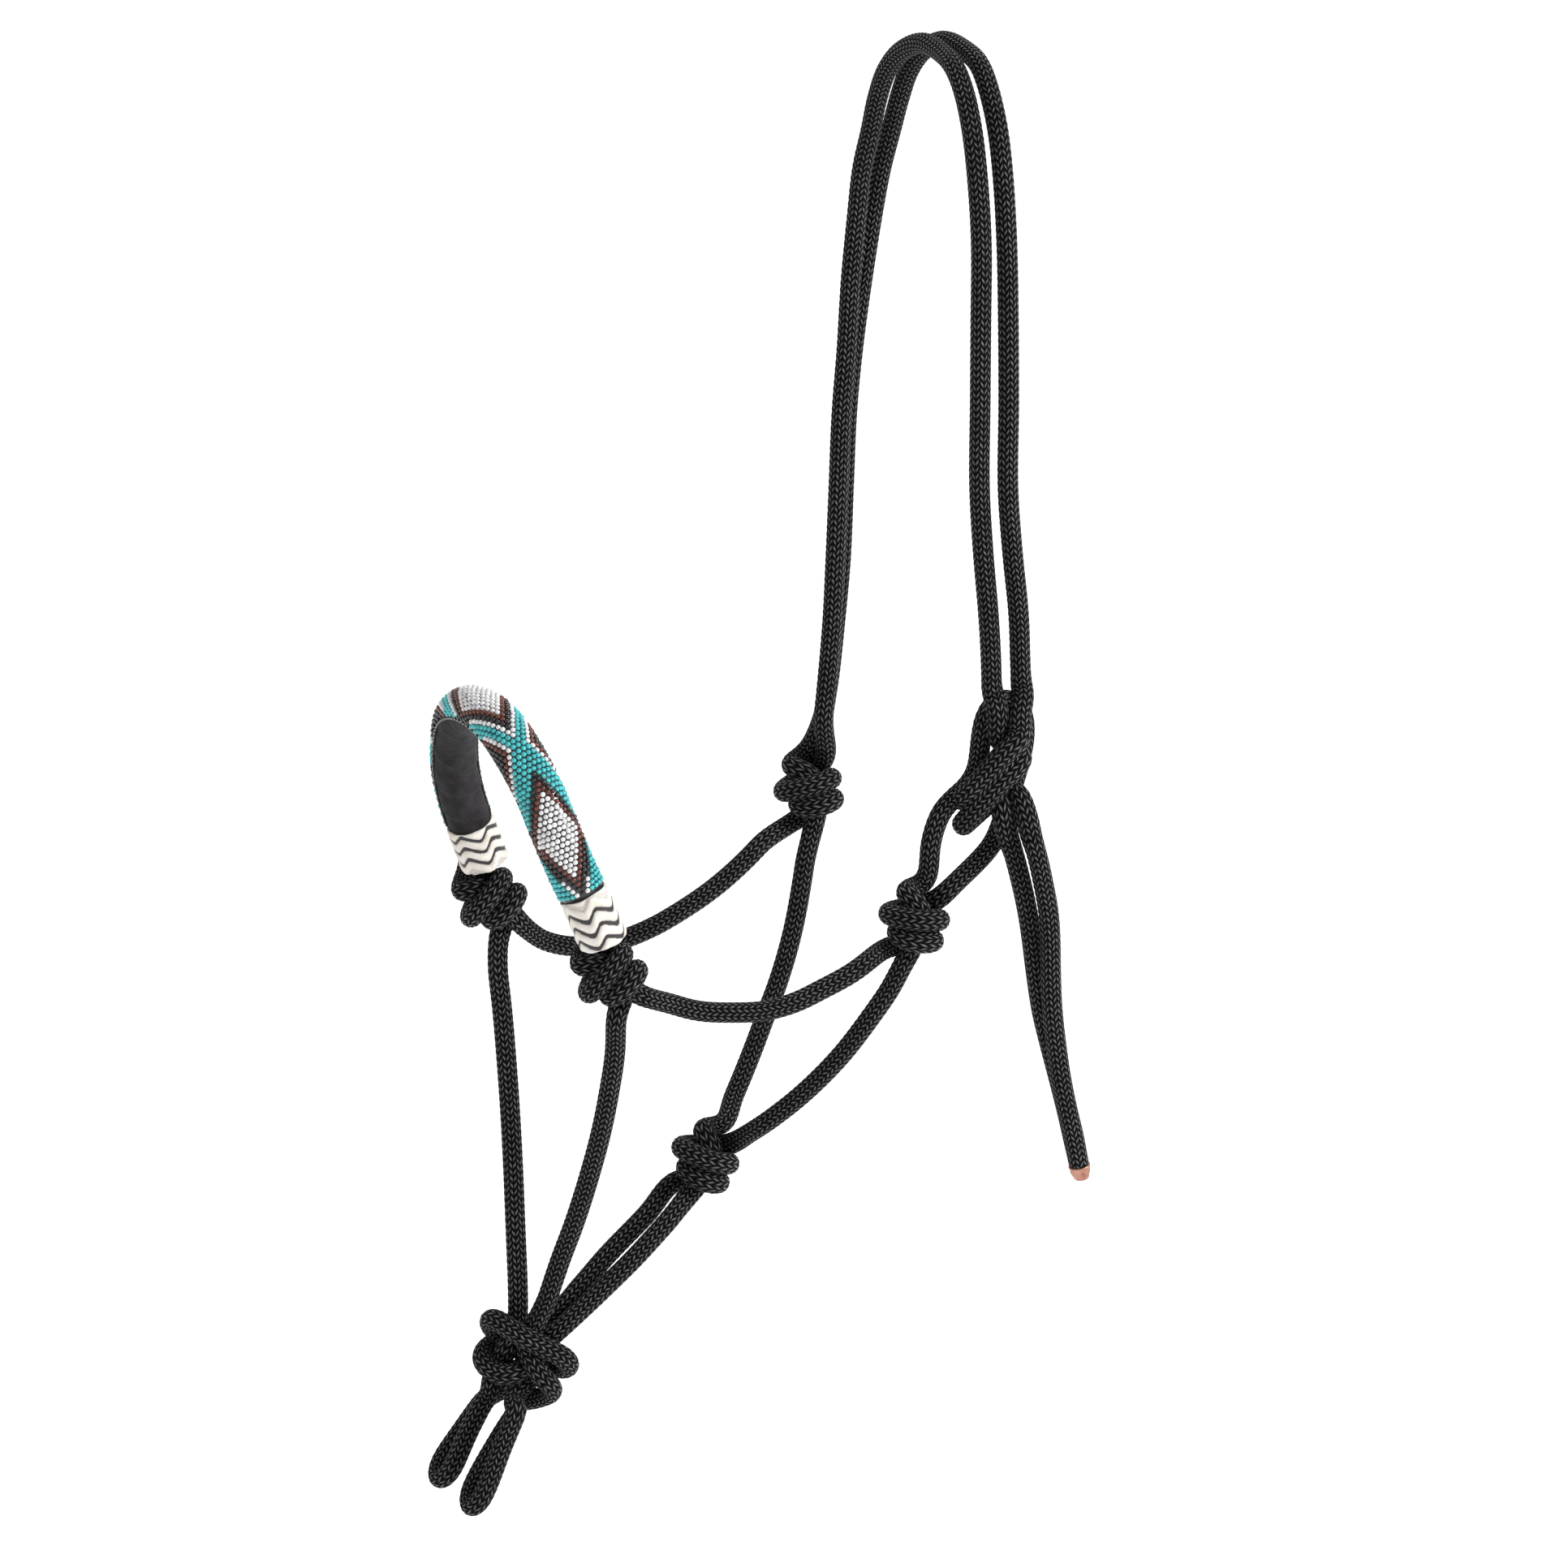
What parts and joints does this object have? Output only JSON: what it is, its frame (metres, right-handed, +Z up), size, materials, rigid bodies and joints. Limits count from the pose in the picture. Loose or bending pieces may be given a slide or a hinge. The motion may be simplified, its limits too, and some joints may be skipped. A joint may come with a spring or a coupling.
{
  "type": "rope halter",
  "caption": "Hand-tied black braided rope halter for a horse, with a stiff beaded noseband, rawhide bands, a tied crown and lead loops under the chin.",
  "frame": {"origin": "on the horse's poll, under the middle of the crown rope, between its two strands", "axes": "+Z up, -X towards the horse's nose, -Y towards the horse's left (near) side, where the tie is"},
  "size_m": [0.2875, 0.1658, 0.6427],
  "materials": {
    "braided_rope": "charcoal black double-braided polyester rope with a fine herringbone cover",
    "black_suede": "matt black suede, wound round the noseband with overlapping turns",
    "felt_padding": "plain grey felt, hidden",
    "seed_beads": "glossy opaque seed beads in turquoise, white, brown and black, sewn in diamonds",
    "braided_rawhide": "off-white rawhide strings braided with black zigzag lines",
    "copper_cap": "thin copper, crimped flat at the end"
  },
  "bodies": {
    "crown": {"crown_rope_front": "braided_rope", "crown_rope_rear": "braided_rope", "crown_tie": "braided_rope", "tie_loop": "braided_rope"},
    "headstall": {"nose_knot_far": "braided_rope", "nose_knot_near": "braided_rope", "cheek_knot_far": "braided_rope", "cheek_knot_near": "braided_rope", "throat_knot": "braided_rope", "fiador_knot": "braided_rope", "cheek_rope_far": "braided_rope", "cheek_rope_near": "braided_rope", "nose_drop_far": "braided_rope", "nose_drop_near": "braided_rope", "throat_rope_far": "braided_rope", "throat_rope_near": "braided_rope", "chin_rope_far": "braided_rope", "chin_rope_near": "braided_rope"},
    "noseband": {"noseband_rope_front": "braided_rope", "noseband_rope_rear": "braided_rope", "noseband_padding": "felt_padding", "suede_wrap": "black_suede", "bead_strip": "seed_beads", "rawhide_band_near": "braided_rawhide", "rawhide_band_far": "braided_rawhide"},
    "tail_front": {"tail_rope_front": "braided_rope", "end_cap_front": "copper_cap"},
    "tail_rear": {"tail_rope_rear": "braided_rope", "end_cap_rear": "copper_cap"},
    "lead_loop_far": {"lead_loop_far": "braided_rope"},
    "lead_loop_near": {"lead_loop_near": "braided_rope"}
  },
  "joints": [
    {"name": "crown_swing", "type": "hinge", "parent": "crown", "child": "headstall", "pos_m": [-0.03025, 0, -0.34375], "axis": [0.115, 0.9792, 0.1669], "range_deg": [-20, 25]},
    {"name": "noseband_tilt", "type": "hinge", "parent": "headstall", "child": "noseband", "pos_m": [-0.192, 0, -0.361], "axis": [0, 1, 0], "range_deg": [-20, 12]},
    {"name": "lead_loop_far_swing", "type": "hinge", "parent": "headstall", "child": "lead_loop_far", "pos_m": [-0.218, 0.011, -0.59], "axis": [0, 1, 0], "range_deg": [-40, 40]},
    {"name": "lead_loop_near_swing", "type": "hinge", "parent": "headstall", "child": "lead_loop_near", "pos_m": [-0.213, -0.011, -0.59], "axis": [0, 1, 0], "range_deg": [-40, 40]},
    {"name": "tail_front_swing", "type": "hinge", "parent": "crown", "child": "tail_front", "pos_m": [-0.0005, -0.0715, -0.339], "axis": [0, 1, 0], "range_deg": [-50, 20]},
    {"name": "tail_rear_swing", "type": "hinge", "parent": "crown", "child": "tail_rear", "pos_m": [0.003, -0.079, -0.328], "axis": [0, 1, 0], "range_deg": [-50, 10]}
  ]
}
